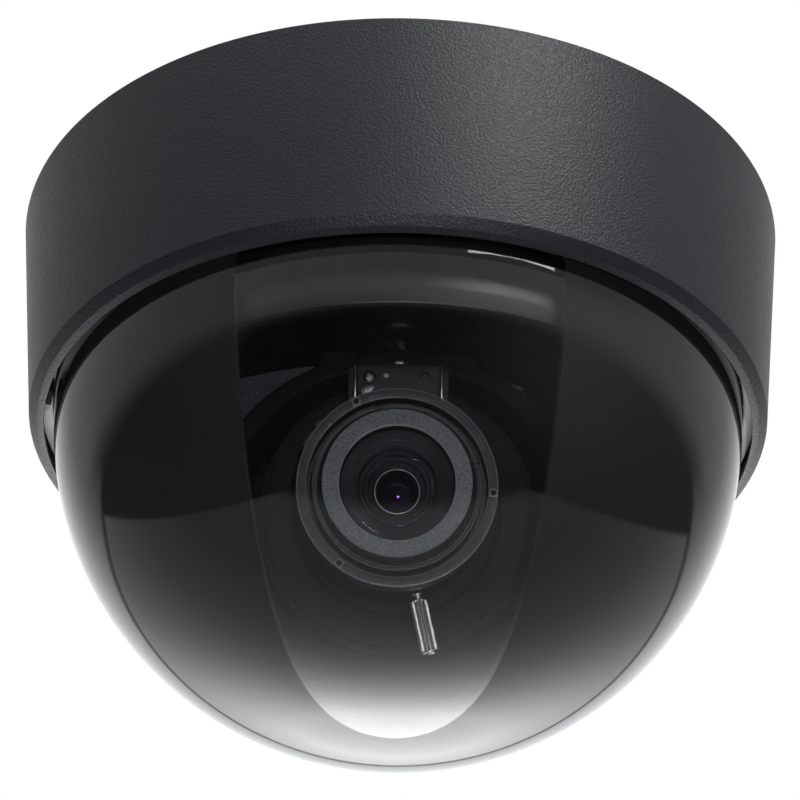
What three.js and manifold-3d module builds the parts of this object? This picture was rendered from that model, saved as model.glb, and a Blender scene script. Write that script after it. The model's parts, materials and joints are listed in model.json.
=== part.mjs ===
// Indoor varifocal dome camera, hanging from a ceiling. Millimetres, +Z up to the ceiling.
// The origin is the centre of the base plate's ceiling face, and the lens looks towards -Y and down.
// The camera module is a nested group: its own +Z is the optical axis and its own +Y is the lens's top.
import * as THREE from "three";
import { mergeVertices } from "three/addons/utils/BufferGeometryUtils.js";
import Module from "manifold-3d";

const GAP = 0.3; // clearance between fastened pieces

// Cover: a slightly tapered drum with a bevelled lip.
const DRUM_TOP_R = 60;
const DRUM_RIM_R = 57.67;
const DRUM_RIM_Z = -34.39;
const BEVEL_R = 56.37;
const BEVEL_Z = -35.84;
const LIP_R = 55.22;
const LIP_Z = -36.4;
const DRUM_WALL = 1.75;
const CEILING_SHADOW_GAP = 0.1;
const DRUM_SEAT_R = 56.3; // inner radius where the bubble's flange sits

// Clear bubble and what holds it.
const BUBBLE_Z = -34.74; // height of the sphere's centre
const BUBBLE_R = 53.73;
const BUBBLE_WALL = 1.8;
const FLANGE_TOP = -29.4;
const FLANGE_BOTTOM = -30.9;
const GASKET_BOTTOM = -32.4;
const CLIP_COUNT = 3;
const CLIP_START = 189; // degrees from +X, so that one clip stands at the lens's left
const CLIP_WIDTH = 4.3;

// Base.
const BASE_R = 57.4;
const BASE_THICK = 3;
const BASE_WALL_R = 55;
const BASE_WALL_THICK = 1.8;
const BASE_WALL_BOTTOM = -9;
const HUB_R = 7;
const HUB_BOTTOM = -9.7;
const INLET = { x: 0, y: 35, r: 8 };
const SLOT_PITCH = 83.5; // mounting slots of a standard ceiling box
const SLOT = { width: 4.6, length: 11 };

// Power board on the base.
const BOARD_TOP = -5;
const BOARD_THICK = 1.6;
const POWER_BOARD = { x: 30, yLow: -40, yHigh: -14 };

// Turntable, its ring and the black liner.
const TABLE = { r: 47.2, top: -13, bottom: -16 };
const WIRE_HOLE = { y: 30, r: 5.5 };
const RING = {
  rOut: 49.2, sphereR: 49.8, thick: 1.5, bottom: -44.5, flangeR: 51.2, flangeTop: -17.2,
};
const LINER = { rOut: 51.4, rIn: 50.2, top: -18.9 };
// The slot's right edge: a curve from (startX, startY) by two control points to (0, endY).
const SLOT_EDGE = {
  startX: 24.2, startY: -45.7, c1: [19.5, -26], c2: [15, 3.8], endY: 4.2, frontX: 24.6,
};

// Yoke and tilt pivot.
const PIVOT_Z = -51.7;
const YOKE = { rIn: 26, rOut: 29, half: 4.2, leg: 5, footTop: -16.3, footThick: 2 };
const YOKE_RIB = { inner: 6.5, middle: 9.5, outer: 12.5 };
const YOKE_SCREW = { headR: 2.5, wellR: 2.9, bore: 1.5, shankR: 1.2 };
const PIVOT_SCREW = { shankR: 1.5, bore: 1.9, headR: 3.6 };
const TILT_DEG = 21; // the lens axis below the horizon

// Camera module, measured along the optical axis from the tilt pivot.
const CRADLE = { half: 3.5, rIn: 18.3, rOut: 21.5, bossR: 3.4, bossX: 24.6 };
const HOUSING_BORE = 10;
const SENSOR_BOARD = { half: 16, clip: 5, front: -9.6 };
const REAR_BOARD = { halfX: 15, halfY: 13, clip: 4, front: -15 };

// Lens.
const BARREL = {
  bore: 7.3, mountR: 9.6, back: -5, flangeR: 13.6, flangeBack: 8.3, flangeFront: 10.2,
  tubeR: 10.9, front: 22.6,
};
const ZOOM_RING = { rIn: 11.25, rOut: 13.9, back: 11.4, front: 17.6, screwAt: 15.6 };
const FOCUS_RING = {
  rIn: 11.25, neckR: 14.2, rOut: 14.95, back: 18, front: 27.5, recessAt: 22.8, recessR: 13.5,
};
const FOCUS_LUG = { angle: 148, half: 1.6, reach: 1.4, low: 1, high: 4.2, grubAt: 2.6 };
const CELL = {
  rOut: 12.65, bandR: 11.75, grooveR: 11.2, seatR: 8.65, throatR: 7,
  back: 23.7, seatAt: 27.2, bandAt: 28.4, front: 30.6,
};
const FRONT_GLASS = { edge: 28.9, sphereR: 25.6, sphereAt: 4.7 };
const PAD_ANGLES = [-3, -126, -244]; // degrees from the module's +X
const THUMB_SCREW = { angle: -77, r: 1.45, root: 15.2, tip: 23.4, teeth: 18, shankR: 0.9 };
const IRIS = {
  half: 7.65, back: 7.6, front: 15.4, neckFront: 11, bottom: 13.2, roof: 21.6, overhang: 14.8,
};

const wasm = await Module();
wasm.setup();

// ---- geometry helpers: every piece is a closed solid -------------------------------------------

// A closed three.js geometry as a solid, with its seams merged and its zero-area triangles left out.
function toSolid(geometry) {
  const flat = geometry.index ? geometry.toNonIndexed() : geometry;
  const bare = new THREE.BufferGeometry().setAttribute("position", flat.getAttribute("position"));
  const merged = mergeVertices(bare, 1e-4);
  const corners = merged.index.array;
  const triVerts = [];
  for (let i = 0; i < corners.length; i += 3) {
    const [a, b, c] = [corners[i], corners[i + 1], corners[i + 2]];
    if (a !== b && b !== c && c !== a) triVerts.push(a, b, c);
  }
  return new wasm.Manifold(
    new wasm.Mesh({
      numProp: 3,
      vertProperties: merged.attributes.position.array,
      triVerts: new Uint32Array(triVerts),
    }),
  );
}

function toGeometry(solid) {
  const mesh = solid.getMesh();
  const geometry = new THREE.BufferGeometry();
  geometry.setAttribute("position", new THREE.BufferAttribute(mesh.vertProperties, 3));
  geometry.setIndex(new THREE.BufferAttribute(mesh.triVerts, 1));
  geometry.computeVertexNormals();
  return geometry;
}

// A solid of revolution about Z. The outline is a list of [radius, height] points.
function turned(outline, segments = 36) {
  const first = outline[0];
  const last = outline[outline.length - 1];
  const points = first[0] === 0 && last[0] === 0 ? [...outline] : [...outline, first];
  let area = 0;
  for (let i = 0; i + 1 < points.length; i += 1) {
    area += points[i][0] * points[i + 1][1] - points[i + 1][0] * points[i][1];
  }
  if (area < 0) points.reverse();
  const profile = points.map(([r, z]) => new THREE.Vector2(r, z));
  return toSolid(new THREE.LatheGeometry(profile, segments).rotateX(Math.PI / 2));
}

const disc = (r, low, high, segments) => turned([[0, low], [r, low], [r, high], [0, high]], segments);

const tube = (rIn, rOut, low, high, segments) =>
  turned([[rIn, low], [rOut, low], [rOut, high], [rIn, high]], segments);

// A disc or a tube standing at a point other than the axis.
const discAt = (x, y, r, low, high, segments = 16) =>
  toSolid(
    new THREE.CylinderGeometry(r, r, high - low, segments)
      .rotateX(Math.PI / 2)
      .translate(x, y, (low + high) / 2),
  );

// A disc whose axis runs along X.
const discAlongX = (r, low, high, y, z, segments = 20) =>
  toSolid(
    new THREE.CylinderGeometry(r, r, high - low, segments)
      .rotateZ(-Math.PI / 2)
      .translate((low + high) / 2, y, z),
  );

const block = (x, y, z) =>
  toSolid(
    new THREE.BoxGeometry(x[1] - x[0], y[1] - y[0], z[1] - z[0]).translate(
      (x[0] + x[1]) / 2,
      (y[0] + y[1]) / 2,
      (z[0] + z[1]) / 2,
    ),
  );

// A flat outline in XY, given thickness along Z.
const plate = (shape, low, high, curveSegments = 12) =>
  toSolid(
    new THREE.ExtrudeGeometry(shape, { depth: high - low, bevelEnabled: false, curveSegments })
      .translate(0, 0, low),
  );

// Points of a circular arc in a turned outline, from one angle to another, in degrees.
function arc(centreZ, r, from, to, steps) {
  const points = [];
  for (let i = 0; i <= steps; i += 1) {
    const angle = THREE.MathUtils.degToRad(from + ((to - from) * i) / steps);
    const radius = r * Math.cos(angle);
    points.push([Math.abs(radius) < 1e-9 ? 0 : radius, centreZ + r * Math.sin(angle)]);
  }
  return points;
}

// A point at a radius and an angle in degrees.
const polar = (r, degrees) => [
  r * Math.cos(THREE.MathUtils.degToRad(degrees)),
  r * Math.sin(THREE.MathUtils.degToRad(degrees)),
];

// A solid turned about Z by an angle in degrees.
function spun(solid, degrees) {
  return toSolid(toGeometry(solid).toNonIndexed().rotateZ(THREE.MathUtils.degToRad(degrees)));
}

function roundedSlot(x, y, length, width, degrees) {
  const half = (length - width) / 2;
  const r = width / 2;
  const shape = new THREE.Shape();
  shape.absarc(half, 0, r, -Math.PI / 2, Math.PI / 2);
  shape.absarc(-half, 0, r, Math.PI / 2, Math.PI * 1.5);
  const cut = new THREE.ExtrudeGeometry(shape, { depth: 10, bevelEnabled: false, curveSegments: 6 });
  return toSolid(cut.rotateZ(THREE.MathUtils.degToRad(degrees)).translate(x, y, -8));
}

// A rectangle with its four corners cut off, for the circuit boards.
function clippedRectangle(halfX, halfY, clip) {
  const shape = new THREE.Shape();
  shape.moveTo(halfX - clip, -halfY);
  shape.lineTo(halfX, -halfY + clip);
  shape.lineTo(halfX, halfY - clip);
  shape.lineTo(halfX - clip, halfY);
  shape.lineTo(-halfX + clip, halfY);
  shape.lineTo(-halfX, halfY - clip);
  shape.lineTo(-halfX, -halfY + clip);
  shape.lineTo(-halfX + clip, -halfY);
  return shape;
}

// ---- finishes -----------------------------------------------------------------------------------

const finish = (color, roughness, metalness = 0) =>
  new THREE.MeshStandardMaterial({ color, roughness, metalness });
const blackPlastic = () => finish(0x2b2c2e, 0.6);
const innerPlastic = () => finish(0x141415, 0.45);
const lensPlastic = () => finish(0x1b1b1c, 0.4);
const steel = () => finish(0xb9b9b6, 0.3, 1);
const darkSteel = () => finish(0x2a2a2c, 0.35, 1);
const boardGreen = () => finish(0x1c4a2c, 0.5);
const whiteNylon = () => finish(0xe6e2d6, 0.5);
const rubber = () => finish(0x1d1d1d, 0.85);

function part(name, solid, material) {
  const mesh = new THREE.Mesh(toGeometry(solid), material);
  mesh.name = name;
  return mesh;
}

function assembly(...pieces) {
  const group = new THREE.Group();
  group.add(...pieces);
  return group;
}

// ---- base: everything that stays on the ceiling ---------------------------------------------------

function basePlate() {
  const wallIn = BASE_WALL_R - BASE_WALL_THICK;
  let solid = turned(
    [
      [0, 0], [BASE_R, 0], [BASE_R, -BASE_THICK], [BASE_WALL_R, -BASE_THICK],
      [BASE_WALL_R, BASE_WALL_BOTTOM], [wallIn, BASE_WALL_BOTTOM], [wallIn, -BASE_THICK],
      [HUB_R, -BASE_THICK], [HUB_R, HUB_BOTTOM], [0, HUB_BOTTOM],
    ],
    48,
  );
  for (const x of [-POWER_BOARD.x + 4, POWER_BOARD.x - 4]) {
    for (const y of [POWER_BOARD.yLow + 4, POWER_BOARD.yHigh - 4]) {
      solid = solid.add(discAt(x, y, 2.4, BOARD_TOP + GAP, -BASE_THICK + 0.5, 12));
    }
  }
  solid = solid.subtract(discAt(INLET.x, INLET.y, INLET.r, -8, 2, 28));
  solid = solid.subtract(disc(2, -20, -BASE_THICK + 0.5, 20));
  for (const side of [-1, 1]) {
    solid = solid.subtract(roundedSlot((side * SLOT_PITCH) / 2, 0, SLOT.length, SLOT.width, 90));
  }
  return part("base_plate", solid, innerPlastic());
}

function cableGrommet() {
  const body = discAt(INLET.x, INLET.y, INLET.r - GAP, -4.9, -0.5, 28);
  const flange = discAt(INLET.x, INLET.y, INLET.r + 2, -4.9, -BASE_THICK - GAP, 28);
  const hole = discAt(INLET.x, INLET.y, 3.4, -8, 2, 20);
  return part("cable_grommet", body.add(flange).subtract(hole), rubber());
}

function powerBoard() {
  const low = BOARD_TOP - BOARD_THICK;
  const { x, yLow, yHigh } = POWER_BOARD;
  const board = block([-x, x], [yLow, yHigh], [low, BOARD_TOP]);
  const seat = low - GAP;
  const capacitor = discAt(-21, -31, 4, seat - 5.2, seat, 20);
  const inductor = block([-9, -1], [-34, -26], [seat - 4, seat]);
  const terminal = block([8, 24], [-24, -16], [seat - 4.8, seat]);
  const jackBody = block([6, 14], [-38, -30], [seat - 4.2, seat]);
  return assembly(
    part("power_board", board, boardGreen()),
    part("power_capacitor", capacitor, finish(0x23345c, 0.4)),
    part("power_inductor", inductor, finish(0x3b3b3d, 0.6)),
    part("terminal_block", terminal, finish(0x2d6b45, 0.5)),
    part("harness_socket", jackBody, whiteNylon()),
  );
}

// ---- cover: drum, bubble and what holds them together ----------------------------------------------

function housingCover() {
  const top = -CEILING_SHADOW_GAP;
  const topR = THREE.MathUtils.mapLinear(top, 0, DRUM_RIM_Z, DRUM_TOP_R, DRUM_RIM_R);
  const outline = [
    [topR, top], [DRUM_RIM_R, DRUM_RIM_Z], [BEVEL_R, BEVEL_Z], [LIP_R, LIP_Z],
    [LIP_R, LIP_Z + 0.5], [DRUM_SEAT_R, LIP_Z + 1.7], [DRUM_SEAT_R, FLANGE_TOP + 2],
    [DRUM_TOP_R - DRUM_WALL, top],
  ];
  return part("housing_cover", turned(outline, 60), blackPlastic());
}

function domeBubble() {
  const inner = BUBBLE_R - BUBBLE_WALL;
  const outline = [
    ...arc(BUBBLE_Z, BUBBLE_R, -90, 0, 10),
    [BUBBLE_R, FLANGE_BOTTOM], [DRUM_SEAT_R - GAP, FLANGE_BOTTOM], [DRUM_SEAT_R - GAP, FLANGE_TOP],
    [inner, FLANGE_TOP],
    ...arc(BUBBLE_Z, inner, 0, -90, 10),
  ];
  const clear = finish(0xdfe6e8, 0.05);
  clear.transparent = true;
  clear.opacity = 0.35;
  return part("dome_bubble", turned(outline, 48), clear);
}

function bubbleHolders() {
  const seatR = DRUM_SEAT_R - GAP;
  const gasket = tube(BUBBLE_R + GAP, seatR, GASKET_BOTTOM, FLANGE_BOTTOM - GAP, 48);
  const ring = tube(BUBBLE_R - 1.4, seatR, FLANGE_TOP + GAP, FLANGE_TOP + GAP + 1.4, 48);
  const pieces = [
    part("dome_gasket", gasket, finish(0xcfcabb, 0.7)),
    part("bubble_retaining_ring", ring, innerPlastic()),
  ];
  const across = [BUBBLE_R + 0.45, LIP_R - 0.1];
  const along = [-CLIP_WIDTH / 2, CLIP_WIDTH / 2];
  for (let i = 0; i < CLIP_COUNT; i += 1) {
    const clip = block(across, along, [LIP_Z + 1, GASKET_BOTTOM - GAP]);
    const angle = CLIP_START + (i * 360) / CLIP_COUNT;
    pieces.push(part(`bubble_clip_${i + 1}`, spun(clip, angle), innerPlastic()));
  }
  return assembly(...pieces);
}

// ---- pan: turntable, ring, liner and yoke -----------------------------------------------------------

function turntable() {
  let solid = disc(TABLE.r, TABLE.bottom, TABLE.top, 48);
  solid = solid.subtract(disc(2, -20, -10, 20));
  for (const side of [-1, 1]) {
    solid = solid.subtract(discAt(side * YOKE_RIB.middle, 0, YOKE_SCREW.bore, -20, -10, 12));
  }
  solid = solid.subtract(discAt(0, WIRE_HOLE.y, WIRE_HOLE.r, -20, -10, 24));
  return part("turntable", solid, innerPlastic());
}

// A cylinder whose lower end follows the sphere of the liner, just inside it.
function shroudRing() {
  const rIn = RING.rOut - RING.thick;
  const lowest = THREE.MathUtils.radToDeg(Math.asin((RING.bottom - BUBBLE_Z) / RING.sphereR));
  const flangeBottom = LINER.top + GAP;
  const outline = [
    [rIn, TABLE.top], [RING.rOut, TABLE.top], [RING.rOut, RING.flangeTop],
    [RING.flangeR, RING.flangeTop], [RING.flangeR, flangeBottom], [RING.rOut, flangeBottom],
    [RING.rOut, BUBBLE_Z],
    ...arc(BUBBLE_Z, RING.sphereR, -8, lowest, 3),
    ...arc(BUBBLE_Z, RING.sphereR - RING.thick, lowest, -8, 3),
    [rIn, BUBBLE_Z],
  ];
  return part("shroud_ring", turned(outline, 48), innerPlastic());
}

function liner() {
  const outline = [
    [LINER.rOut, LINER.top], ...arc(BUBBLE_Z, LINER.rOut, 0, -90, 9),
    ...arc(BUBBLE_Z, LINER.rIn, -90, 0, 9), [LINER.rIn, LINER.top],
  ];
  const edge = SLOT_EDGE;
  const window = new THREE.Shape();
  window.moveTo(0, edge.endY);
  window.bezierCurveTo(-edge.c2[0], edge.c2[1], -edge.c1[0], edge.c1[1], -edge.startX, edge.startY);
  window.lineTo(-edge.frontX, -BUBBLE_R - 6);
  window.lineTo(edge.frontX, -BUBBLE_R - 6);
  window.lineTo(edge.startX, edge.startY);
  window.bezierCurveTo(edge.c1[0], edge.c1[1], edge.c2[0], edge.c2[1], 0, edge.endY);
  const cut = plate(window, BUBBLE_Z - BUBBLE_R - 5, LINER.top + 5, 8);
  return part("liner", turned(outline, 48).subtract(cut), innerPlastic());
}

// The yoke is drawn in the XZ plane about the tilt pivot and given depth along Y.
function yoke() {
  const { rIn, rOut, half, leg } = YOKE;
  const arch = new THREE.Shape();
  arch.moveTo(rOut, -leg);
  arch.lineTo(rOut, 0);
  arch.absarc(0, 0, rOut, 0, Math.PI, false);
  arch.lineTo(-rOut, -leg);
  arch.lineTo(-rIn, -leg);
  arch.lineTo(-rIn, 0);
  arch.absarc(0, 0, rIn, Math.PI, 0, true);
  arch.lineTo(rIn, -leg);
  const options = { depth: 2 * half, bevelEnabled: false, curveSegments: 20 };
  const extruded = new THREE.ExtrudeGeometry(arch, options).translate(0, 0, -half);
  let solid = toSolid(extruded.rotateX(Math.PI / 2).translate(0, 0, PIVOT_Z));
  const footLow = YOKE.footTop - YOKE.footThick;
  const archTop = PIVOT_Z + rOut - 3.5;
  for (const side of [-1, 1]) {
    const x = [side * YOKE_RIB.inner, side * YOKE_RIB.outer].sort((a, b) => a - b);
    const middle = side * YOKE_RIB.middle;
    solid = solid.add(block(x, [-half, half], [archTop, YOKE.footTop]));
    solid = solid.subtract(discAt(middle, 0, YOKE_SCREW.wellR, archTop + 3, footLow, 16));
    solid = solid.subtract(discAt(middle, 0, YOKE_SCREW.bore, footLow - 1, 0, 12));
  }
  solid = solid.subtract(discAlongX(PIVOT_SCREW.bore, -40, 40, 0, PIVOT_Z));
  return part("yoke", solid, innerPlastic());
}

function panHardware() {
  const footLow = YOKE.footTop - YOKE.footThick;
  const pieces = [];
  const washer = tube(2.3, 8, TABLE.top + GAP, HUB_BOTTOM - GAP, 32);
  pieces.push(part("pan_washer", washer, whiteNylon()));
  const pivotHead = disc(3.8, TABLE.bottom - GAP - 2.2, TABLE.bottom - GAP, 24);
  pieces.push(part("pan_pivot_screw", pivotHead.add(disc(1.7, TABLE.bottom - 1, -4.4, 16)), steel()));
  [-1, 1].forEach((side, i) => {
    const x = side * YOKE_RIB.middle;
    const head = discAt(x, 0, YOKE_SCREW.headR, footLow - GAP - 1.8, footLow - GAP, 16);
    const shank = discAt(x, 0, YOKE_SCREW.shankR, footLow - 1, TABLE.top - 0.4, 12);
    pieces.push(part(`yoke_screw_${i + 1}`, head.add(shank), darkSteel()));
  });
  return assembly(...pieces);
}

// ---- tilt: cradle, pivots -----------------------------------------------------------------------------

// The tilt pivots lie on the tilt group's X axis.
function tiltHardware() {
  const pieces = [];
  for (const [word, side] of [["left", -1], ["right", 1]]) {
    const span = (from, to) => [side * from, side * to].sort((a, b) => a - b);
    const [headLow, headHigh] = span(YOKE.rOut + GAP, YOKE.rOut + 2.4);
    const [shankLow, shankHigh] = span(22.4, YOKE.rOut + 1);
    const head = discAlongX(PIVOT_SCREW.headR, headLow, headHigh, 0, 0);
    const shank = discAlongX(PIVOT_SCREW.shankR, shankLow, shankHigh, 0, 0, 16);
    pieces.push(part(`tilt_screw_${word}`, head.add(shank), darkSteel()));
    const [washerLow, washerHigh] = span(CRADLE.bossX + GAP, YOKE.rIn - 0.5);
    const washer = discAlongX(4.2, washerLow, washerHigh, 0, 0, 24);
    const bore = discAlongX(PIVOT_SCREW.bore, -40, 40, 0, 0);
    pieces.push(part(`tilt_washer_${word}`, washer.subtract(bore), whiteNylon()));
  }
  return assembly(...pieces);
}

function cradle() {
  let solid = tube(CRADLE.rIn, CRADLE.rOut, -CRADLE.half, CRADLE.half, 48);
  for (const [low, high] of [[-CRADLE.bossX, -19.8], [19.8, CRADLE.bossX]]) {
    solid = solid.add(discAlongX(CRADLE.bossR, low, high, 0, 0, 24));
  }
  solid = solid.subtract(disc(CRADLE.rIn, -10, 10, 48));
  for (const [low, high] of [[-40, -21.8], [21.8, 40]]) {
    solid = solid.subtract(discAlongX(1.8, low, high, 0, 0));
  }
  return part("cradle", solid, innerPlastic());
}

// ---- camera module: boards and housing -------------------------------------------------------------

function moduleHousing() {
  const guide = CRADLE.rIn - GAP;
  const face = CRADLE.half + GAP; // where the cradle's two end faces are cleared
  const outline = [
    [HOUSING_BORE, -9.2], [17.6, -9.2], [17.6, -6.4], [20.6, -6.4], [20.6, -face], [guide, -face],
    [guide, face], [15.6, face], [15.6, 7.2], [HOUSING_BORE, 7.2],
  ];
  const nut = tube(15.9, 20.4, face + GAP, 6, 40);
  return assembly(
    part("module_housing", turned(outline, 40), innerPlastic()),
    part("roll_lock_nut", nut, lensPlastic()),
  );
}

function boards() {
  const front = SENSOR_BOARD.front;
  const back = front - BOARD_THICK;
  const sensorShape = clippedRectangle(SENSOR_BOARD.half, SENSOR_BOARD.half, SENSOR_BOARD.clip);
  const sensorBoard = plate(sensorShape, back, front);
  const rear = REAR_BOARD.front;
  const rearBack = rear - BOARD_THICK;
  const rearShape = clippedRectangle(REAR_BOARD.halfX, REAR_BOARD.halfY, REAR_BOARD.clip);
  const rearBoard = plate(rearShape, rearBack, rear);
  const header = block([-6, 6], [-10, -5.5], [rear + GAP, back - GAP]);
  const connector = block([-6.5, 2.5], [-2.5, 2.5], [rearBack - GAP - 4, rearBack - GAP]);
  const sensor = block([-6, 6], [-5.5, 5.5], [front + GAP, front + GAP + 1.4]);
  const cover = block([-3.4, 3.4], [-2.8, 2.8], [front + GAP + 1.4 + GAP, front + GAP + 2.3]);
  return assembly(
    part("sensor_board", sensorBoard, boardGreen()),
    part("rear_board", rearBoard, boardGreen()),
    part("board_header", header, finish(0x151515, 0.5)),
    part("wire_connector", connector, whiteNylon()),
    part("image_sensor", sensor, finish(0x3a3a40, 0.5)),
    part("sensor_window", cover, finish(0x1b2233, 0.08)),
  );
}

// ---- varifocal lens ------------------------------------------------------------------------------------

function lensBarrel() {
  const b = BARREL;
  const outline = [
    [b.bore, b.back], [b.mountR, b.back], [b.mountR, b.flangeBack], [b.flangeR, b.flangeBack],
    [b.flangeR, b.flangeFront], [b.tubeR, b.flangeFront], [b.tubeR, b.front], [b.bore, b.front],
  ];
  const glassR = b.bore - GAP;
  const rearGlass = turned([[0, -3.6], [glassR - 1.4, -2.9], [glassR, -2.3], [glassR, -1.2], [0, -0.6]], 28);
  const blades = tube(2.2, glassR, 9, 9.8, 32);
  return assembly(
    part("lens_barrel", turned(outline, 40), lensPlastic()),
    part("rear_element", rearGlass, finish(0x2a3040, 0.05)),
    part("iris_diaphragm", blades, finish(0x0c0c0c, 0.4)),
  );
}

// The automatic iris's motor block stands on the barrel's flange and hangs over the zoom ring.
function irisBlock() {
  const { half, back, front, neckFront, bottom, roof, overhang } = IRIS;
  const neck = block([-half + 1.1, half - 1.1], [bottom, roof - 1], [back, neckFront]);
  const head = block([-half, half], [overhang, roof], [back + 0.6, front]);
  const bulge = discAt(0, 14.4, 8, back + 1.5, front - 1, 24);
  const below = block([-20, 20], [-20, overhang], [back, front + 1]);
  const seat = disc(BARREL.flangeR + GAP, -5, BARREL.flangeFront + GAP, 48);
  const solid = neck.add(head).add(bulge.subtract(below)).subtract(seat);
  const screw = discAt(-4.4, 19.2, 1, front + GAP, front + 1.1, 14);
  return assembly(part("iris_block", solid, lensPlastic()), part("iris_block_screw", screw, darkSteel()));
}

function zoomRing() {
  const z = ZOOM_RING;
  const outline = [
    [z.rIn, z.back], [z.rOut - 0.5, z.back], [z.rOut, z.back + 0.5], [z.rOut, z.front - 0.5],
    [z.rOut - 0.5, z.front], [z.rIn, z.front],
  ];
  const hole = spun(discAlongX(1.25, 10, 20, 0, z.screwAt, 14), THUMB_SCREW.angle);
  return part("zoom_ring", turned(outline, 40).subtract(hole), lensPlastic());
}

// A knurled thumb screw: a toothed head on a plain shank, along a radius of the lens.
function zoomLockScrew() {
  const t = THUMB_SCREW;
  const shape = new THREE.Shape();
  for (let i = 0; i < 2 * t.teeth; i += 1) {
    const [x, y] = polar(i % 2 ? t.r : t.r - 0.22, (i * 180) / t.teeth);
    if (i) shape.lineTo(x, y);
    else shape.moveTo(x, y);
  }
  const head = new THREE.ExtrudeGeometry(shape, { depth: t.tip - t.root, bevelEnabled: false });
  const upright = toSolid(head.rotateY(Math.PI / 2).translate(t.root, 0, ZOOM_RING.screwAt));
  const shank = discAlongX(t.shankR, ZOOM_RING.rIn + 0.2, t.root + 1, 0, ZOOM_RING.screwAt, 14);
  return part("zoom_lock_screw", spun(upright.add(shank), t.angle), steel());
}

function focusRing() {
  const f = FOCUS_RING;
  const shoulder = f.recessAt + 0.6;
  const outline = [
    [f.rIn, f.back], [f.neckR, f.back], [f.neckR, shoulder], [f.rOut, shoulder], [f.rOut, f.front],
    [f.recessR, f.front], [f.recessR, f.recessAt], [f.rIn, f.recessAt],
  ];
  let solid = turned(outline, 40);
  for (const angle of PAD_ANGLES) {
    const pad = block([f.recessR + 0.1, f.rOut + 0.5], [-1.4, 1.4], [f.front - 2, f.front + 0.3]);
    const hole = discAt((f.recessR + f.rOut + 0.6) / 2, 0, 0.45, f.front - 1.2, f.front + 2, 10);
    solid = solid.add(spun(pad, angle)).subtract(spun(hole, angle));
  }
  const { angle, half, reach } = FOCUS_LUG;
  const grubZ = f.back + FOCUS_LUG.grubAt;
  const lug = block(
    [f.neckR - 1, f.rOut + reach],
    [-half, half],
    [f.back + FOCUS_LUG.low, f.back + FOCUS_LUG.high],
  );
  const grubHole = discAlongX(0.95, f.rIn - 1, 20, 0, grubZ, 12);
  const grub = discAlongX(0.65, f.rIn + GAP, f.rOut + 1.2, 0, grubZ, 12);
  solid = solid.add(spun(lug, angle)).subtract(spun(grubHole, angle));
  return assembly(
    part("focus_ring", solid, lensPlastic()),
    part("focus_lock_screw", spun(grub, angle), steel()),
  );
}

function frontCell() {
  const c = CELL;
  const outline = [
    [c.throatR, c.back], [c.rOut, c.back], [c.rOut, c.bandAt], [c.bandR, c.bandAt],
    [c.bandR, c.front - 2], [c.grooveR, c.front - 2], [c.grooveR, c.front], [c.seatR, c.front - 0.2],
    [c.seatR, c.seatAt], [c.throatR, c.seatAt],
  ];
  const back = c.seatAt + GAP;
  const glassR = c.seatR - GAP;
  const { edge, sphereR, sphereAt } = FRONT_GLASS;
  const edgeAngle = THREE.MathUtils.radToDeg(Math.acos(glassR / sphereR));
  const glass = turned(
    [[0, back], [glassR, back], [glassR, edge], ...arc(sphereAt, sphereR, edgeAngle, 90, 5)],
    36,
  );
  return assembly(
    part("front_cell", turned(outline, 40), lensPlastic()),
    part("front_element", glass, finish(0x2b2440, 0.05)),
  );
}

// ---- the whole camera -----------------------------------------------------------------------------------

const base = assembly(basePlate(), cableGrommet(), powerBoard());
const cover = assembly(housingCover(), domeBubble(), bubbleHolders());
const cameraModule = assembly(
  cradle(), moduleHousing(), boards(), lensBarrel(), irisBlock(),
  zoomRing(), zoomLockScrew(), focusRing(), frontCell(),
);
cameraModule.rotation.x = THREE.MathUtils.degToRad(90 + TILT_DEG);

const tilt = assembly(tiltHardware(), cameraModule);
tilt.position.z = PIVOT_Z;

const pan = assembly(turntable(), shroudRing(), liner(), yoke(), panHardware(), tilt);

const domeCamera = assembly(base, cover, pan);
domeCamera.name = "dome_camera";

export default domeCamera;
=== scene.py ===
"""Looks of an indoor dome camera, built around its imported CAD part.

Outlines are in millimetres in the part's frame, or in the camera module's own frame, whose +Z is the
optical axis and +Y the lens's top. They become metres when a mesh is made.
"""

import json
import math

import bmesh
import bpy
from mathutils import Matrix, Vector

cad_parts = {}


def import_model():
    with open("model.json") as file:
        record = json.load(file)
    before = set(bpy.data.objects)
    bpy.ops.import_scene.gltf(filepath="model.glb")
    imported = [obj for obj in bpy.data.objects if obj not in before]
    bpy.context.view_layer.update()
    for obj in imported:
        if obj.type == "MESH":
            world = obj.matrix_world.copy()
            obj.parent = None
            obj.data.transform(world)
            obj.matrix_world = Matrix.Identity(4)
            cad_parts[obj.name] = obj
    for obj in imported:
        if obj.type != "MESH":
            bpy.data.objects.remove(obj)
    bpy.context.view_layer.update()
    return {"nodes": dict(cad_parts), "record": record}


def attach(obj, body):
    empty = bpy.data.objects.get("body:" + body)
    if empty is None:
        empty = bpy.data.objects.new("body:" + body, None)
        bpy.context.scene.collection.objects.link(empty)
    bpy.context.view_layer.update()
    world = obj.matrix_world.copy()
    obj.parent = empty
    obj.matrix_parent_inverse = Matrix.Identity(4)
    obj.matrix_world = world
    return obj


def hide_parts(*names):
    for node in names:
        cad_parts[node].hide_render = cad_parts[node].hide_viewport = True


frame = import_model()
RECORD = frame["record"]
JOINTS = {joint["name"]: joint for joint in RECORD["behaviour"]["joints"]}

MM = 0.001
ROUND = 160  # segments of a large turned piece
FINE = 240  # segments of the drum, the bubble and the liner
SIDES = (-1, 1)
PART = Matrix.Scale(MM, 4)  # millimetres in the part's frame to metres


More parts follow.
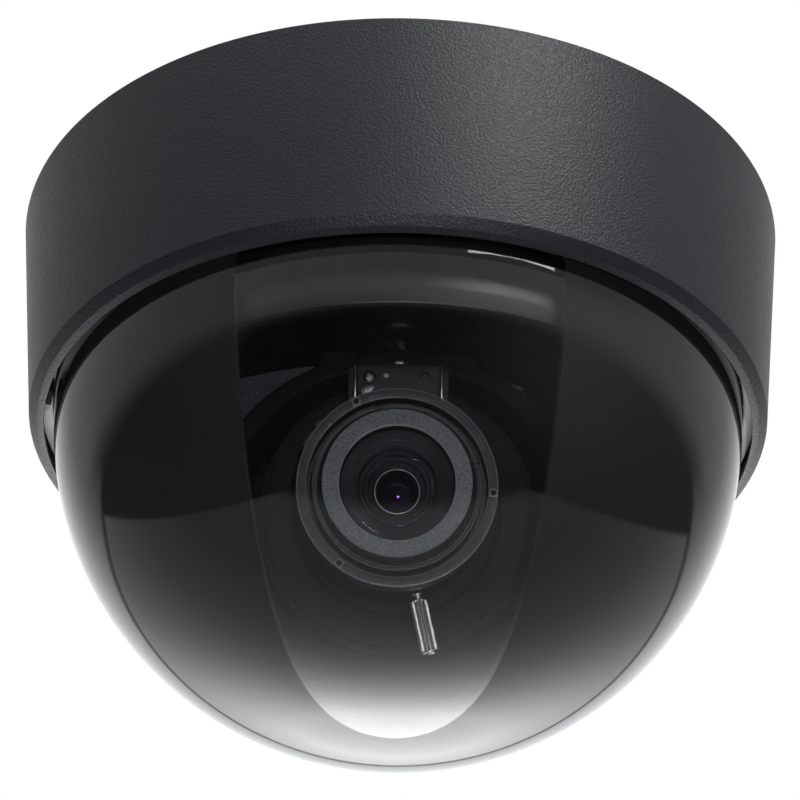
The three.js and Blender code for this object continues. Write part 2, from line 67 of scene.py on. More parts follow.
def module_frame():
    """Millimetres in the camera module's frame to metres in the part's frame."""
    axis = Vector(JOINTS["lens_roll"]["axis"]).normalized()
    side = Vector((1, 0, 0))
    top = axis.cross(side)
    matrix = Matrix((side, top, axis)).transposed().to_4x4()
    matrix.translation = Vector(JOINTS["tilt"]["pos_m"])
    return matrix @ PART


MODULE = module_frame()


# ---- making meshes -----------------------


def shade(mesh, degrees=32):
    """Smooth shading that stays crisp at edges sharper than the angle."""
    for polygon in mesh.polygons:
        polygon.use_smooth = True
    mesh.set_sharp_from_angle(angle=math.radians(degrees))


def from_bmesh(name, bm, place):
    """An object in the scene from a bmesh, placed by a matrix, with its faces turned outwards."""
    bmesh.ops.recalc_face_normals(bm, faces=bm.faces)
    bm.transform(place)
    mesh = bpy.data.meshes.new(name)
    bm.to_mesh(mesh)
    bm.free()
    shade(mesh)
    piece = bpy.data.objects.new(name, mesh)
    bpy.context.scene.collection.objects.link(piece)
    return piece


def soften(points, steps=5):
    """A closed outline whose (x, y, radius) corners become arcs; (x, y) corners stay sharp."""
    smooth = []
    for i, point in enumerate(points):
        corner = Vector(point[:2])
        if len(point) < 3:
            smooth.append(tuple(corner))
            continue
        back = Vector(points[i - 1][:2]) - corner
        ahead = Vector(points[(i + 1) % len(points)][:2]) - corner
        half = back.angle(ahead) / 2
        reach = min(point[2] / math.tan(half), 0.49 * back.length, 0.49 * ahead.length)
        radius = reach * math.tan(half)
        middle = (back.normalized() + ahead.normalized()).normalized()
        centre = corner + middle * radius / math.sin(half)
        start = corner + back.normalized() * reach - centre
        end = corner + ahead.normalized() * reach - centre
        first = math.atan2(start.y, start.x)
        sweep = (math.atan2(end.y, end.x) - first + math.pi) % (2 * math.pi) - math.pi
        for k in range(steps + 1):
            angle = first + sweep * k / steps
            smooth.append((centre.x + radius * math.cos(angle), centre.y + radius * math.sin(angle)))
    return smooth


def arc(radius, start, end, steps, centre=(0, 0)):
    """Points of an arc from one angle to another, in degrees."""
    angles = [math.radians(start + (end - start) * k / steps) for k in range(steps + 1)]
    return [(centre[0] + radius * math.cos(a), centre[1] + radius * math.sin(a)) for a in angles]


def turned(name, outline, place=PART, segments=ROUND, grip=None):
    """A closed (radius, height) outline turned about Z. grip(radius, height, segment) may alter a radius.

    A point on the axis becomes one vertex, so the faces next to it are triangles.
    """
    outline = soften(outline)
    bm = bmesh.new()
    rings = []
    for r, z in outline:
        if r < 1e-6:
            rings.append([bm.verts.new((0, 0, z))] * segments)
            continue
        ring = []
        for k in range(segments):
            radius = grip(r, z, k) if grip else r
            angle = 2 * math.pi * k / segments
            ring.append(bm.verts.new((radius * math.cos(angle), radius * math.sin(angle), z)))
        rings.append(ring)
    for i, ring in enumerate(rings):
        following = rings[(i + 1) % len(rings)]
        for k in range(segments):
            n = (k + 1) % segments
            corners = []
            for vertex in (ring[k], ring[n], following[n], following[k]):
                if vertex not in corners:
                    corners.append(vertex)
            if len(corners) > 2:
                bm.faces.new(corners)
    return from_bmesh(name, bm, place)


def bevel_edges(bm, width, segments=3, degrees=30):
    """Eases every edge whose faces meet at more than the angle."""
    limit = math.radians(degrees)
    edges = [e for e in bm.edges if len(e.link_faces) == 2 and e.calc_face_angle() > limit]
    bmesh.ops.bevel(bm, geom=edges, offset=width, segments=segments, profile=0.5, affect="EDGES")


def box(name, x, y, z, bevel=0.2, place=PART):
    """A block between two bounds on each axis."""
    bm = bmesh.new()
    bmesh.ops.create_cube(bm, size=1)
    size = Vector((x[1] - x[0], y[1] - y[0], z[1] - z[0]))
    middle = Vector((x[1] + x[0], y[1] + y[0], z[1] + z[0])) / 2
    bmesh.ops.scale(bm, vec=size, verts=bm.verts)
    bmesh.ops.translate(bm, vec=middle, verts=bm.verts)
    if bevel:
        bevel_edges(bm, bevel)
    return from_bmesh(name, bm, place)


def prism(name, outline, low, high, bevel=0, place=PART):
    """A closed flat outline given thickness along Z."""
    bm = bmesh.new()
    face = bm.faces.new([bm.verts.new((x, y, low)) for x, y in soften(outline)])
    top = bmesh.ops.extrude_face_region(bm, geom=[face])
    raised = [v for v in top["geom"] if isinstance(v, bmesh.types.BMVert)]
    bmesh.ops.translate(bm, vec=(0, 0, high - low), verts=raised)
    if bevel:
        bmesh.ops.recalc_face_normals(bm, faces=bm.faces)
        bevel_edges(bm, bevel, degrees=50)
    return from_bmesh(name, bm, place)


def band(name, inner, outer, low, high, bevel=0, place=PART):
    """A strip between two open lines of equal length, given thickness along Z."""
    bm = bmesh.new()
    rows = []
    for near, far in zip(inner, outer):
        corners = ((*near, low), (*far, low), (*far, high), (*near, high))
        rows.append([bm.verts.new(corner) for corner in corners])
    for row, following in zip(rows, rows[1:]):
        for k in range(4):
            n = (k + 1) % 4
            bm.faces.new((row[k], row[n], following[n], following[k]))
    bm.faces.new(rows[0])
    bm.faces.new(rows[-1])
    bmesh.ops.recalc_face_normals(bm, faces=bm.faces)
    if bevel:
        bevel_edges(bm, bevel, degrees=50)
    return from_bmesh(name, bm, place)


def rod(name, radius, low, high, place=PART, bevel=0.15, segments=48):
    """A short bar along Z with eased ends."""
    edge = min(bevel, radius * 0.45)
    outline = [(0, low), (radius, low, edge), (radius, high, edge), (0, high)]
    return turned(name, outline, place, segments)


def moved(place, x=0, y=0, z=0, turn=0, about="Z"):
    """A placing matrix shifted in its own frame, then turned by degrees about one of its axes."""
    return place @ Matrix.Translation((x, y, z)) @ Matrix.Rotation(math.radians(turn), 4, about)


def spoke(place, degrees, z=0):
    """A frame whose +Z points along a radius of the given frame."""
    return moved(moved(place, turn=degrees), z=z, turn=90, about="Y")


def on_side(side, near, far):
    """The span between two distances from the middle plane, on its -1 or +1 side."""
    return tuple(sorted((side * near, side * far)))


def hoop(inner, outer, low, high, edge):
    """The (radius, height) outline of a plain ring with eased edges."""
    return [(inner, low, edge), (outer, low, edge), (outer, high, edge), (inner, high, edge)]


def cut(piece, *cutters):
    """Takes the cutters out of the piece."""
    for cutter in cutters:
        step = piece.modifiers.new("cut", "BOOLEAN")
        step.operation = "DIFFERENCE"
        step.solver = "EXACT"
        step.object = cutter
    graph = bpy.context.evaluated_depsgraph_get()
    mesh = bpy.data.meshes.new_from_object(piece.evaluated_get(graph))
    piece.modifiers.clear()
    piece.data = mesh
    for cutter in cutters:
        bpy.data.objects.remove(cutter)
    shade(mesh)
    return piece


def joined(name, pieces):
    """One object made of several closed bodies."""
    bm = bmesh.new()
    for piece in pieces:
        bm.from_mesh(piece.data)
        bpy.data.objects.remove(piece)
    return from_bmesh(name, bm, Matrix())


def fit(piece, material, body, slot, *nodes):
    """Gives a piece its material and the body it moves with, and hides the CAD nodes it stands for; the
    record slot is not used.
    """
    piece.data.materials.clear()
    piece.data.materials.append(material)
    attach(piece, body)
    if nodes:
        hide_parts(*nodes)


def keep_node(name, material):
    """A CAD node that keeps its shape and gets a finished material."""
    node = frame["nodes"][name]
    node.data.materials.clear()
    node.data.materials.append(material)


# ---- materials ---------------------------


class Graph:
    """A material's node tree, with short calls for the few kinds of node used here."""

    def __init__(self, name):
        self.material = bpy.data.materials.new(name)
        self.material.use_nodes = True
        self.nodes = self.material.node_tree.nodes
        self.links = self.material.node_tree.links
        self.shader = self.nodes["Principled BSDF"]
        self.coordinates = self.nodes.new("ShaderNodeTexCoord").outputs["Object"]

    def set(self, **values):
        """Shader inputs by name, with an underscore for each space."""
        for name, value in values.items():
            self.shader.inputs[name.replace("_", " ")].default_value = value

    def link(self, source, target):
        self.links.new(source, self.shader.inputs[target])

    def noise(self, size, detail=2.0, roughness=0.5, stretch=(1, 1, 1)):
        """Noise whose features are about the given size in millimetres."""
        mapping = self.nodes.new("ShaderNodeMapping")
        mapping.inputs["Scale"].default_value = stretch
        self.links.new(self.coordinates, mapping.inputs["Vector"])
        node = self.nodes.new("ShaderNodeTexNoise")
        node.inputs["Scale"].default_value = 1 / (size * MM)
        node.inputs["Detail"].default_value = detail
        node.inputs["Roughness"].default_value = roughness
        self.links.new(mapping.outputs["Vector"], node.inputs["Vector"])
        return node.outputs["Fac"]

    def cells(self, size):
        """Distance to the middle of the nearest of many cells, about the given size in millimetres."""
        node = self.nodes.new("ShaderNodeTexVoronoi")
        node.inputs["Scale"].default_value = 1 / (size * MM)
        self.links.new(self.coordinates, node.inputs["Vector"])
        return node.outputs["Distance"]

    def spread(self, value, low, high, start=0.3, end=0.7):
        """The range from start to end mapped to the one from low to high."""
        node = self.nodes.new("ShaderNodeMapRange")
        node.inputs["From Min"].default_value = start
        node.inputs["From Max"].default_value = end
        node.inputs["To Min"].default_value = low
        node.inputs["To Max"].default_value = high
        self.links.new(value, node.inputs["Value"])
        return node.outputs["Result"]

    def blend(self, value, first, second):
        node = self.nodes.new("ShaderNodeMix")
        node.data_type = "RGBA"
        node.inputs["A"].default_value = (*first, 1)
        node.inputs["B"].default_value = (*second, 1)
        self.links.new(value, node.inputs["Factor"])
        return node.outputs["Result"]

    def add(self, first, second):
        node = self.nodes.new("ShaderNodeMath")
        node.operation = "ADD"
        self.links.new(first, node.inputs[0])
        self.links.new(second, node.inputs[1])
        return node.outputs["Value"]

    def bump(self, height, depth):
        """Bump of a depth in millimetres."""
        node = self.nodes.new("ShaderNodeBump")
        node.inputs["Strength"].default_value = 1.0
        node.inputs["Distance"].default_value = depth * MM
        self.links.new(height, node.inputs["Height"])
        self.link(node.outputs["Normal"], "Normal")


def moulded(name, colour, roughness, grain=0.3, depth=0.01, specular=0.5, mottle=1.25):
    """Moulded plastic: a fine grain in the surface, uneven gloss, and slight clouding of the colour."""
    g = Graph(name)
    g.set(Specular_IOR_Level=specular)
    if depth:
        g.bump(g.noise(grain, detail=3), depth)
    g.link(g.spread(g.noise(grain * 3), roughness * 0.92, roughness * 1.08), "Roughness")
    lighter = tuple(min(1, c * mottle) for c in colour)
    g.link(g.blend(g.spread(g.noise(6, detail=4), 0, 1), colour, lighter), "Base Color")
    return g.material


def speckled(name, colour, roughness, specular=0.2, size=0.22):
    """Satin paint over a fine sanded grain, each grain a little lighter or darker than the next."""
    g = Graph(name)
    g.set(Specular_IOR_Level=specular)
    grains = g.noise(size, detail=3, roughness=0.7)
    g.bump(grains, 0.04)
    g.link(g.spread(g.noise(0.5), roughness - 0.06, roughness + 0.06), "Roughness")
    darker = tuple(c * 0.3 for c in colour)
    lighter = tuple(c * 1.8 for c in colour)
    g.link(g.blend(g.spread(grains, 0, 1, 0.36, 0.64), darker, lighter), "Base Color")
    return g.material


def spark_textured(name, colour, roughness):
    """Coarse spark-eroded moulding texture: low rounded grains with glossy flanks."""
    g = Graph(name)
    g.set(Specular_IOR_Level=0.5)
    grains = g.spread(g.cells(0.42), 1, 0, 0.0, 0.75)
    g.bump(g.add(grains, g.noise(0.22, detail=3, roughness=0.6)), 0.042)
    g.link(g.spread(g.noise(0.5, detail=2), roughness - 0.06, roughness + 0.06), "Roughness")
    lighter = tuple(c * 1.5 for c in colour)
    g.link(g.blend(g.spread(g.noise(0.45, detail=3), 0, 1), colour, lighter), "Base Color")
    return g.material


def metal(name, colour, roughness):
    """Plated or blackened metal with fine machining lines."""
    g = Graph(name)
    g.set(Metallic=1.0)
    lines = g.noise(0.5, detail=3, stretch=(1, 1, 12))
    g.link(g.spread(lines, roughness * 0.8, roughness * 1.25), "Roughness")
    darker = tuple(c * 0.86 for c in colour)
    g.link(g.blend(g.spread(g.noise(2.5), 0, 1), colour, darker), "Base Color")
    g.bump(lines, 0.0012)
    return g.material


def clear(name, colour, index, tint=(1, 1, 1)):
    """Clear polished plastic or glass, with the faintest haze of handling."""
    g = Graph(name)
    g.set(Transmission_Weight=1.0, IOR=index, Roughness=0.0, Specular_Tint=(*tint, 1))
    hazed = tuple(c * 0.985 for c in colour)
    g.link(g.blend(g.spread(g.noise(9, detail=5), 0, 1), colour, hazed), "Base Color")
    return g.material


def coated(name, tint, index, roughness):
    """A lens element in front of a dark barrel: black below, with a tinted reflecting coat."""
    g = Graph(name)
    g.set(IOR=index, Specular_Tint=(*tint, 1), Base_Color=(0.0012, 0.001, 0.0016, 1))
    g.link(g.spread(g.noise(2.5, detail=4), roughness, roughness * 1.15), "Roughness")
    return g.material


def circuit_board(name):
    """Green solder mask over copper tracks that run square to each other."""
    g = Graph(name)
    g.set(Roughness=0.35, Specular_IOR_Level=0.5, Coat_Weight=0.4, Coat_Roughness=0.15)
    along = g.noise(1.1, detail=0, stretch=(1, 0.12, 1))
    across = g.noise(1.4, detail=0, stretch=(0.12, 1, 1))
    tracks = g.spread(g.add(along, across), 0, 1, 1.02, 1.08)
    g.link(g.blend(tracks, (0.008, 0.05, 0.02), (0.02, 0.11, 0.045)), "Base Color")
    g.bump(tracks, 0.03)
    return g.material


DRUM = spark_textured("drum_plastic", (0.0092, 0.0102, 0.0135), 0.46)
BUBBLE = clear("bubble_acrylic", (0.985, 0.985, 0.985), 1.49)
GASKET = moulded("gasket_silicone", (0.72, 0.7, 0.64), 0.6)
# Far darker than black plastic is, as painted shade: it keeps the housing, cradle and nut round the lens dark
# where the front lamp reaches them.
SHADED_INNER = moulded("inner_plastic", (0.0034, 0.0036, 0.0046), 0.7, depth=0.004, specular=0.08)
TABLE = speckled("turntable_plastic", (0.085, 0.09, 0.1), 0.45, size=0.35)
LINER = moulded("liner_plastic", (0.012, 0.012, 0.013), 0.6, grain=0.25, depth=0, specular=0.15, mottle=1.05)
RING = moulded("ring_plastic", (0.004, 0.004, 0.0042), 0.34, grain=0.25, depth=0.001)
# Far darker than black plastic is, as painted shade: it keeps the arch's lamp-lit face dark.
SHADED_YOKE = moulded("yoke_plastic_painted_shade", (0.0022, 0.0023, 0.003), 0.6, depth=0.004, specular=0.09)
LENS = speckled("lens_plastic", (0.0075, 0.0081, 0.0088), 0.42, specular=0.17)
IRIS = moulded("iris_plastic", (0.007, 0.0072, 0.0085), 0.6, specular=0.15)
# A paler grey for edges, pads and the annulus rim: a painted highlight that stands in for their glints.
GLINT_GREY = moulded("painted_edge_highlight", (0.06, 0.063, 0.066), 0.42, specular=0.3)
# The annulus is black textured plastic; its lighter grey is painted light from the front lamp, while its
# grain is the plastic's own.
FRONT_LIT_GREY = speckled("lens_front_painted_light", (0.054, 0.057, 0.06), 0.45, size=0.26)
BRIGHT_EDGE = moulded("light_tab", (0.16, 0.16, 0.165), 0.4)
BLACKED = moulded("lens_interior", (0.0015, 0.0015, 0.0017), 0.6, grain=0.2, depth=0, specular=0.05)
BRIGHT = metal("plated_steel", (0.74, 0.73, 0.71), 0.2)
DARK = metal("black_oxide", (0.09, 0.09, 0.092), 0.36)
GLASS = clear("lens_glass", (0.97, 0.98, 0.98), 1.5, tint=(0.4, 0.3, 0.5))
COATED = coated("violet_coating", (0.5, 0.26, 1.0), 1.75, 0.06)
BOARD = circuit_board("solder_mask")
CHIP = moulded("chip_epoxy", (0.013, 0.013, 0.014), 0.45, grain=0.12, depth=0.006)
NYLON = moulded("white_nylon", (0.7, 0.67, 0.6), 0.45, grain=0.5, depth=0.004, mottle=1.06)
RUBBER = moulded("grommet_rubber", (0.014, 0.014, 0.014), 0.75, depth=0.02)
SLEEVE = moulded("capacitor_sleeve", (0.02, 0.03, 0.09), 0.3, grain=0.5, depth=0.002)
TERMINAL = moulded("terminal_nylon", (0.02, 0.15, 0.06), 0.42, grain=0.4, depth=0.004)


# ---- cover -------------------------------

SPHERE_Z = -34.74  # the centre that the bubble, the liner and the shroud ring share
SPHERE = (0, SPHERE_Z)
BUBBLE_R = 53.73
BUBBLE_IN = 51.93
SEAT_R = 56.0  # outer radius of what sits inside the drum's lip
BUBBLE_FLANGE_Z = (-30.9, -29.4)
GASKET_IN = BUBBLE_R + 0.3
GASKET_Z = (-32.4, -31.2)
RETAINER_IN = 52.35
RETAINER_Z = (-29.1, -27.7)
LIP_R = 55.22
LIP_Z = -36.4
WALL_R = 56.35  # the drum's inner wall at its lower end
COVER_RIBS = 12
CLIPS = 3


def housing_cover():
    outline = [
        (60, -0.03, 0.3), (57.67, -34.39, 0.5), (56.37, -35.84, 0.3), (LIP_R, LIP_Z, 0.12),
        (LIP_R, LIP_Z + 0.75, 0.2), (WALL_R, LIP_Z + 1.7), (WALL_R, -27.4), (58.25, -0.03, 0.3),
    ]
    drum = turned("drum_shell", outline, segments=FINE)
    ribs = []
    for k in range(COVER_RIBS):
        place = moved(PART, turn=k * 360 / COVER_RIBS + 15)
        ribs.append(box("rib", (55.2, 57.0), (-0.5, 0.5), (-26.5, -12), 0.15, place))
    fit(joined("drum", [drum, *ribs]), DRUM, "cover", "textured_plastic", "housing_cover")


def dome_bubble():
    outer = arc(BUBBLE_R, -90, 0, 64, SPHERE)
    inner = arc(BUBBLE_IN, 0, -90, 64, SPHERE)
    low, high = BUBBLE_FLANGE_Z
    rim = [(BUBBLE_R, low, 0.3), (SEAT_R, low, 0.25), (SEAT_R, high, 0.25), (BUBBLE_IN, high, 0.3)]
    outline = [(0, outer[0][1]), *outer[1:], *rim, *inner[:-1], (0, inner[-1][1])]
    shell = turned("clear_dome", outline, segments=FINE)
    shell.visible_shadow = False
    shell.visible_diffuse = False
    fit(shell, BUBBLE, "cover", "clear_bubble", "dome_bubble")


def bubble_holders():
    gasket = turned("silicone_gasket", hoop(GASKET_IN, SEAT_R, *GASKET_Z, 0.4), segments=200)
    fit(gasket, GASKET, "cover", "gasket", "dome_gasket")
    ring = turned("retaining_ring", hoop(RETAINER_IN, SEAT_R, *RETAINER_Z, 0.25))
    fit(ring, SHADED_INNER, "cover", "inner_plastic", "bubble_retaining_ring")
    for k in range(CLIPS):
        spot = moved(PART, turn=189 + 360 / CLIPS * k)
        hook = box("hook", (54.2, 55.1), (-2.1, 2.1), (-35.3, -32.75), 0.2, spot)
        nib = box("nib", (54.25, 55.9), (-1.5, 1.5), (-34.6, -33.9), 0.2, spot)
        clip = joined(f"snap_hook_{k + 1}", [hook, nib])
        fit(clip, SHADED_INNER, "cover", "inner_plastic", f"bubble_clip_{k + 1}")


# ---- base --------------------------------

SLOT_X = 83.5 / 2  # from the centre to each mounting slot
INLET = moved(PART, 0, 35)  # the cable inlet's own frame
INLET_R = 8
POWER_BOARD_Z = -6.6  # underside of the power board
PARTS_Z = -6.9  # tops of the parts that hang under it
TERMINAL_X = (11, 16, 21)
TERMINAL_Y = -20


def slot_outline(x, length, width):
    half = (length - width) / 2
    return arc(width / 2, 0, 180, 12, (x, half)) + arc(width / 2, 180, 360, 12, (x, -half))


def base_plate():
    outline = [
        (0, 0), (57.4, 0, 0.3), (57.4, -3, 0.3), (55, -3, 0.2), (55, -9, 0.3), (53.2, -9, 0.3),
        (53.2, -3, 0.4), (7, -3, 0.5), (7, -9.7, 0.3), (2, -9.7), (2, -4), (0, -4),
    ]
    plate = turned("plate", outline)
    cutters = [rod("cable_hole", INLET_R, -8, 2, INLET)]
    for side in SIDES:
        cutters.append(prism("screw_slot", slot_outline(side * SLOT_X, 11, 4.6), -8, 2))
    cut(plate, *cutters)
    posts = [rod("post", 2.4, -4.7, -2.9, moved(PART, x, y)) for x in (-26, 26) for y in (-36, -18)]
    ribs = []
    for angle in (22, 50, 130, 158):
        place = moved(PART, turn=angle)
        ribs.append(box("rib", (8, 52.8), (-0.6, 0.6), (-5.2, -2.9), 0.15, place))
    moulding = joined("base_moulding", [plate, *posts, *ribs])
    fit(moulding, SHADED_INNER, "base", "inner_plastic", "base_plate")


def cable_grommet():
    """A rubber sleeve with a groove, pushed through the cable inlet."""
    outline = [
        (3.4, -0.5, 0.4), (7.7, -0.5, 0.4), (7.7, -3.3), (10, -3.3, 0.3), (10, -4.9, 0.5), (3.4, -4.9, 0.6),
    ]
    fit(turned("rubber_grommet", outline, INLET, 72), RUBBER, "base", "rubber", "cable_grommet")


def flat_parts(name, sizes, board_z, bevel, place=PART):
    """Chips under a board, from (x, y, width, length, height) sizes. Each is sunk a little into its face."""
    chips = []
    for x, y, width, length, height in sizes:
        span_x = (x - width / 2, x + width / 2)
        span_y = (y - length / 2, y + length / 2)
        span_z = (board_z - height, board_z + 0.05)
        chips.append(box("chip", span_x, span_y, span_z, bevel, place))
    return joined(name, chips)


def pin_row(name, xs, y, z, bevel, place=PART):
    """Square contact pins in a row along X."""
    half = 0.25
    pins = [box("pin", (x - half, x + half), (y - half, y + half), z, bevel, place) for x in xs]
    return joined(name, pins)


def capacitor():
    spot = moved(PART, -21, -31)
    can = rod("can", 3.95, PARTS_Z - 5.2, PARTS_Z, spot, 0.5)
    fit(can, SLEEVE, "base", "capacitor", "power_capacitor")
    vent = rod("capacitor_top", 3.3, PARTS_Z - 5.35, PARTS_Z - 5.1, spot, 0.1)
    fit(vent, BRIGHT, "base", "steel")


def terminal_block():
    block = box("block", (8, 24), (-24, -16), (PARTS_Z - 4.8, PARTS_Z), 0.3)
    spots = [moved(PART, x, TERMINAL_Y) for x in TERMINAL_X]
    ways = [rod("way", 1.5, PARTS_Z - 6, PARTS_Z - 3, spot) for spot in spots]
    fit(cut(block, *ways), TERMINAL, "base", "terminal_green", "terminal_block")
    screws = [rod("screw", 1.35, PARTS_Z - 4.0, PARTS_Z - 3.05, spot) for spot in spots]
    depth = (PARTS_Z - 4.6, PARTS_Z - 3.6)
    width = (TERMINAL_Y - 0.2, TERMINAL_Y + 0.2)
    slots = [box("slot", (x - 1.6, x + 1.6), width, depth, 0) for x in TERMINAL_X]
    fit(cut(joined("terminal_screws", screws), *slots), BRIGHT, "base", "steel")


def harness_socket():
    socket = box("socket", (6, 14), (-38, -30), (PARTS_Z - 4.2, PARTS_Z), 0.25)
    well = box("well", (7, 13), (-37, -31), (PARTS_Z - 6, PARTS_Z - 0.8), 0)
    fit(cut(socket, well), NYLON, "base", "white_nylon", "harness_socket")
    pins = pin_row("socket_pins", (8.2, 10, 11.8), -34, (PARTS_Z - 3.6, PARTS_Z - 0.7), 0.05)
    fit(pins, BRIGHT, "base", "steel")


def power_electronics():
    capacitor()
    coil = box("coil_core", (-9, -1), (-34, -26), (PARTS_Z - 4, PARTS_Z), 0.8)
    fit(coil, CHIP, "base", "chip", "power_inductor")
    terminal_block()
    harness_socket()
    sizes = ((-12, -20, 5, 4, 1.3), (-3, -19, 3, 3, 0.9), (2, -37, 2, 1.2, 0.5), (-14, -37, 3, 2, 1.2))
    fit(flat_parts("power_board_chips", sizes, POWER_BOARD_Z, 0.1), CHIP, "base", "chip")
    keep_node("power_board", BOARD)


# ---- pan frame ---------------------------

LINER_OUT = BUBBLE_IN + 0.03  # the liner lies against the bubble's inner face
LINER_IN = 50.25
LINER_TOP = -18.9
SKIRT_R = 51.4
SHROUD_OUT = 49.2
SHROUD_IN = 47.7
SHROUD_LOW = -44.5
TABLE_R = 47.2
TABLE_Z = (-16, -13)
WIRE_HOLE = moved(PART, 0, 30)
THROUGH = (-20, -10)  # heights that a cutter needs to pass right through the turntable
LEG_SCREW_X = 9.5
YOKE_IN = 26
YOKE_OUT = 29
YOKE_HALF = 4.2  # half of the arch's width
PIVOT = Vector(JOINTS["tilt"]["pos_m"]) / MM
AT_PIVOT = PART @ Matrix.Translation(PIVOT)


def bezier(start, first, second, end, steps):
    """Points of a cubic curve from its ends and its two handles."""
    corners = (start, first, second, end)
    points = []
    for k in range(steps + 1):
        t = k / steps
        weights = ((1 - t) ** 3, 3 * t * (1 - t) ** 2, 3 * t * t * (1 - t), t ** 3)
        points.append(tuple(sum(w * c[axis] for w, c in zip(weights, corners)) for axis in (0, 1)))
    return points


def window_outline():
    """The liner's slot seen from below: narrow and round at the back, open at the front rim."""
    right = bezier((24.2, -45.7), (19.5, -26), (15, 3.8), (0, 4.2), 40)
    left = [(-x, y) for x, y in reversed(right[:-1])]
    return [(24.6, -62), *right, *left, (-24.6, -62)]


def liner():
    outer = arc(LINER_OUT, 0, -90, 64, SPHERE)
    inner = arc(LINER_IN, -90, 0, 64, SPHERE)
    bottom = [(0, outer[-1][1]), (0, inner[0][1])]
    skirt = [(SKIRT_R, LINER_TOP, 0.2), (SKIRT_R, -28.6, 1), (LINER_OUT, -30, 1)]
    outline = [*skirt, *outer[:-1], *bottom, *inner[1:], (LINER_IN, LINER_TOP, 0.2)]
    shell = turned("slotted_liner", outline, segments=FINE)
    cut(shell, prism("window", window_outline(), -95, -14))
    fit(shell, LINER, "pan_frame", "liner_plastic", "liner")


def shroud_ring():
    """A ring inside the liner. Its foot follows the liner's curve, and a collar steps out at its top."""
    foot_out = 49.8
    foot_in = 48.3
    lowest = math.degrees(math.asin((SHROUD_LOW - SPHERE_Z) / foot_out))
    outer = arc(foot_out, -8, lowest, 10, SPHERE)
    inner = arc(foot_in, lowest, -8, 10, SPHERE)
    collar = [(SHROUD_OUT, -17.2), (51.2, -17.2, 0.2), (51.2, -18.6, 0.2), (SHROUD_OUT, -18.6)]
    outline = [
        (SHROUD_IN, -13), (SHROUD_OUT, -13, 0.3), *collar, (SHROUD_OUT, SPHERE_Z, 2), *outer[:-1],
        (*outer[-1], 0.7), (*inner[0], 0.7), *inner[1:], (SHROUD_IN, SPHERE_Z, 2),
    ]
    fit(turned("inner_ring", outline, segments=200), RING, "pan_frame", "inner_plastic", "shroud_ring")


def turntable():
    low, high = TABLE_Z
    disc = turned("disc", [(0, high), (TABLE_R, high, 0.3), (TABLE_R, low, 0.5), (0, low)])
    holes = [rod("pivot_hole", 2, *THROUGH), rod("wire_hole", 5.5, *THROUGH, WIRE_HOLE, 0)]
    holes += [rod("screw_hole", 1.5, *THROUGH, moved(PART, side * LEG_SCREW_X)) for side in SIDES]
    cut(disc, *holes)
    rim = [(5.6, low - 0.9, 0.3), (6.6, low - 0.9, 0.3), (6.6, low + 0.1), (5.6, low + 0.1)]
    collar = turned("collar", rim, WIRE_HOLE, 64)
    fit(joined("pan_table", [disc, collar]), TABLE, "pan_frame", "inner_plastic", "turntable")


def yoke():
    """An arch in the XZ plane about the tilt pivot, on two ribs under the turntable."""
    inner, outer = ([(r, -5), *arc(r, 0, 180, 72), (-r, -5)] for r in (YOKE_IN, YOKE_OUT))
    upright = moved(AT_PIVOT, turn=90, about="X")
    arch = band("arch", inner, outer, -YOKE_HALF, YOKE_HALF, 0.5, upright)
    crown = PIVOT.z + YOKE_OUT
    width = (-YOKE_HALF, YOKE_HALF)
    height = (crown - 3.4, -16.3)
    legs = [box("leg", on_side(side, 6.5, 12.5), width, height, 0.5) for side in SIDES]
    spots = [moved(PART, side * LEG_SCREW_X) for side in SIDES]
    wells = [rod("well", 2.9, crown - 0.5, -18.3, spot) for spot in spots]
    bores = [rod("bore", 1.5, *THROUGH, spot) for spot in spots]
    body = cut(joined("legs", legs), *wells, *bores)
    cut(arch, rod("pivot_bore", 1.9, -40, 40, moved(AT_PIVOT, turn=90, about="Y")))
    fit(joined("tilt_yoke", [arch, body]), SHADED_YOKE, "pan_frame", "inner_plastic", "yoke")


def cross_screw(name, head_r, head_h, shank_r, shank_l, place):
    """A pan-head screw with a cross recess. Its head rests on z = 0 and its shank runs to -Z."""
    outline = [
        (0, head_h), (head_r * 0.45, head_h), (head_r, head_h * 0.45, head_h * 0.5), (head_r, 0, 0.1),
        (shank_r, 0), (shank_r, -shank_l, 0.2), (0, -shank_l),
    ]
    screw = turned(name, outline, place, 40)
    length = (-head_r * 0.55, head_r * 0.55)
    width = (-head_r * 0.13, head_r * 0.13)
    depth = (head_h * 0.4, head_h + 1)
    blades = [box("blade", length, width, depth, 0, moved(place, turn=turn)) for turn in (25, 115)]
    return cut(screw, *blades)


def pan_hardware():
    washer = turned("friction_washer", hoop(2.3, 8, -12.7, -10, 0.2), segments=64)
    fit(washer, NYLON, "pan_frame", "white_nylon", "pan_washer")
    down = moved(PART, z=-16.3, turn=180, about="X")
    screw = cross_screw("pivot_screw", 3.8, 2.2, 1.7, 11.7, down)
    fit(screw, BRIGHT, "pan_frame", "steel", "pan_pivot_screw")
    for k, side in enumerate(SIDES, 1):
        down = moved(PART, side * LEG_SCREW_X, 0, -18.6, 180, "X")
        screw = cross_screw(f"leg_screw_{k}", 2.5, 1.8, 1.2, 5.1, down)
        fit(screw, DARK, "pan_frame", "dark_steel", f"yoke_screw_{k}")


# ---- tilt frame --------------------------


def tilt_hardware():
    for word, side in zip(("left", "right"), SIDES):
        outward = moved(AT_PIVOT, side * (YOKE_OUT + 0.3), 0, 0, 90 * side, "Y")
        screw = cross_screw(f"pivot_bolt_{word}", 3.6, 2.1, 1.5, 6.9, outward)
        fit(screw, DARK, "tilt_frame", "dark_steel", f"tilt_screw_{word}")
        inward = moved(outward, z=-3.8)
        washer = turned(f"pivot_washer_{word}", hoop(1.9, 4.2, -0.6, 0, 0.1), inward, 48)
        fit(washer, NYLON, "tilt_frame", "white_nylon", f"tilt_washer_{word}")


